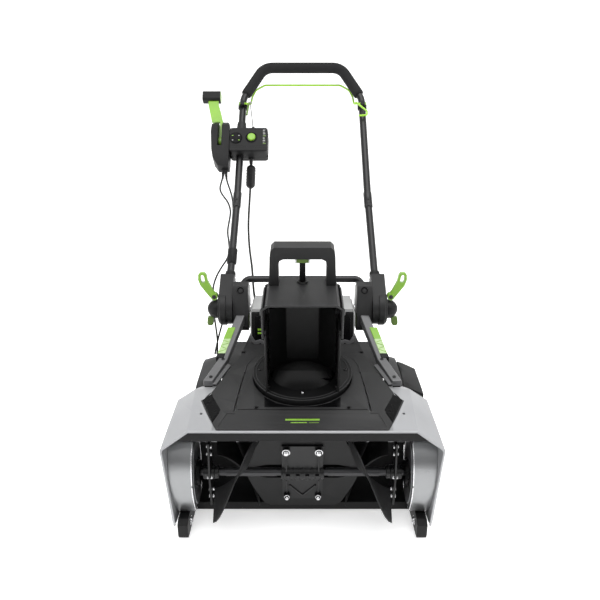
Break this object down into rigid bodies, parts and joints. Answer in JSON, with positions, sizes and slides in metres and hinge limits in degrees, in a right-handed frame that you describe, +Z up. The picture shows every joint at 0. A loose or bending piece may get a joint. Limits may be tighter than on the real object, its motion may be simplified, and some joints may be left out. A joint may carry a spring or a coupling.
{
  "type": "battery-powered snow thrower",
  "caption": "Walk-behind battery snow thrower with rubber-paddle auger, swivelling discharge chute, tilting deflector, folding handle, squeeze bail and wheels.",
  "frame": {"origin": "on the ground under the middle of the machine's bounding box", "axes": "+Z up, +Y from the intake to the operator, +X to the viewer's right when facing the intake"},
  "size_m": [0.626, 0.9603, 1.0574],
  "materials": {
    "silver_paint": "satin",
    "black_plastic": "fine grain",
    "charcoal_plastic": "fine grain",
    "grey_plastic": "satin",
    "black_steel": "satin powder coat",
    "bright_steel": "zinc plated",
    "paddle_rubber": "moulded",
    "motor_metal": "cast",
    "board": "potted",
    "tyre_rubber": "moulded tread",
    "lens": "smoked clear cover",
    "green_plastic": "satin",
    "pack_plastic": "fine grain",
    "foam": "closed-cell foam",
    "green_wire": "powder coat",
    "cable_rubber": "smooth jacket",
    "ferrite": "smooth"
  },
  "bodies": {
    "chassis": {"auger_bearings": "bright_steel", "auger_housing": "silver_paint", "battery_bay": "black_plastic", "battery_pack": "pack_plastic", "belt_cover": "black_plastic", "chassis_tub": "black_plastic", "chute_ring": "black_plastic", "crossbar": "black_steel", "door_hinge_pin": "bright_steel", "drive_belt": "paddle_rubber", "drive_motor": "motor_metal", "fold_bolts": "bright_steel", "front_lip": "black_plastic", "headlight_lenses": "lens", "knuckle_plates": "charcoal_plastic", "lower_liner": "black_plastic", "motor_controller": "board", "rear_fenders": "charcoal_plastic", "scraper_blade": "black_steel", "side_bosses": "silver_paint", "side_plate_left": "silver_paint", "side_plate_right": "silver_paint", "skid_bolts": "bright_steel", "skid_shoes": "black_plastic", "strut_accents": "green_plastic", "struts": "grey_plastic", "top_shroud": "charcoal_plastic", "wheel_axle": "bright_steel"},
    "auger": {"auger_shaft": "bright_steel", "centre_bracket": "black_steel", "centre_paddles": "paddle_rubber", "auger_bolts": "bright_steel", "auger_arms": "black_steel", "helical_paddles": "paddle_rubber"},
    "motor_rotor": {"motor_shaft": "bright_steel"},
    "wheel_left": {"wheel_left": "tyre_rubber"},
    "wheel_right": {"wheel_right": "tyre_rubber"},
    "chute": {"chute": "black_plastic"},
    "deflector": {"deflector_hood": "charcoal_plastic", "deflector_pins": "bright_steel", "deflector_handle": "charcoal_plastic"},
    "trigger": {"deflector_trigger": "green_plastic"},
    "battery_door": {"battery_door": "grey_plastic"},
    "handle": {"handle_tube": "black_steel", "foam_grip": "foam", "handle_sockets": "charcoal_plastic", "cam_bodies": "black_plastic", "bail_brackets": "black_plastic", "control_box_front": "charcoal_plastic", "control_box_rear": "black_plastic", "chute_control_housing": "black_plastic", "cable_ferrite": "ferrite", "power_cable": "cable_rubber", "chute_cable_a": "cable_rubber", "chute_cable_b": "cable_rubber"},
    "bail": {"bail_wire": "green_wire"},
    "start_button": {"start_button": "green_plastic"},
    "chute_lever": {"chute_lever": "green_plastic"},
    "cam_lever_left": {"cam_lever_left": "green_plastic"},
    "cam_lever_right": {"cam_lever_right": "green_plastic"}
  },
  "joints": [
    {"name": "handle_fold", "type": "hinge", "parent": "chassis", "child": "handle", "pos_m": [0, -0.0166, 0.417], "axis": [1, 0, 0], "range_deg": [0, 115], "deforming": ["power_cable", "chute_cable_a", "chute_cable_b"]},
    {"name": "bail_squeeze", "type": "hinge", "parent": "handle", "child": "bail", "pos_m": [0, 0.3634, 0.938], "axis": [1, 0, 0], "range_deg": [0, 9], "stiffness_Nm_per_rad": 0.6, "springref_deg": -20.05},
    {"name": "start_button_press", "type": "slide", "parent": "handle", "child": "start_button", "axis": [0, 0.7924, -0.61], "range_m": [0, 0.004], "stiffness_N_per_m": 400, "springref_m": -0.002},
    {"name": "chute_rotate", "type": "hinge", "parent": "chassis", "child": "chute", "pos_m": [0, -0.2466, 0.341], "axis": [0, -0.1219, 0.9925], "range_deg": [-90, 90]},
    {"name": "chute_lever_swing", "type": "hinge", "parent": "handle", "child": "chute_lever", "pos_m": [0, 0.29621, 0.8299], "axis": [1, 0, 0], "range_deg": [-30, 30]},
    {"name": "deflector_tilt", "type": "hinge", "parent": "chute", "child": "deflector", "pos_m": [0, -0.26572, 0.50489], "axis": [1, 0, 0], "range_deg": [0, 30]},
    {"name": "deflector_trigger_squeeze", "type": "slide", "parent": "deflector", "child": "trigger", "axis": [0, -0.1219, 0.9925], "range_m": [0, 0.006], "stiffness_N_per_m": 300, "springref_m": -0.004},
    {"name": "auger_spin", "type": "hinge", "parent": "chassis", "child": "auger", "pos_m": [0, -0.3666, 0.137], "axis": [1, 0, 0], "continuous": true},
    {"name": "motor_spin", "type": "hinge", "parent": "chassis", "child": "motor_rotor", "pos_m": [0, -0.1686, 0.178], "axis": [1, 0, 0], "continuous": true},
    {"name": "wheel_left_spin", "type": "hinge", "parent": "chassis", "child": "wheel_left", "pos_m": [0, -0.0766, 0.1], "axis": [1, 0, 0], "continuous": true},
    {"name": "wheel_right_spin", "type": "hinge", "parent": "chassis", "child": "wheel_right", "pos_m": [0, -0.0766, 0.1], "axis": [1, 0, 0], "continuous": true},
    {"name": "battery_door_open", "type": "hinge", "parent": "chassis", "child": "battery_door", "pos_m": [0, -0.0916, 0.438], "axis": [1, 0, 0], "range_deg": [0, 100]},
    {"name": "cam_lever_left_open", "type": "hinge", "parent": "handle", "child": "cam_lever_left", "pos_m": [-0.24, -0.0166, 0.452], "axis": [0, -1, 0], "range_deg": [0, 58]},
    {"name": "cam_lever_right_open", "type": "hinge", "parent": "handle", "child": "cam_lever_right", "pos_m": [0.24, -0.0166, 0.452], "axis": [0, 1, 0], "range_deg": [0, 58]}
  ],
  "couplings": [
    {"joint": "motor_spin", "follows": "auger_spin", "ratio": 3.588},
    {"joint": "chute_lever_swing", "follows": "chute_rotate", "ratio": 0.33333}
  ]
}
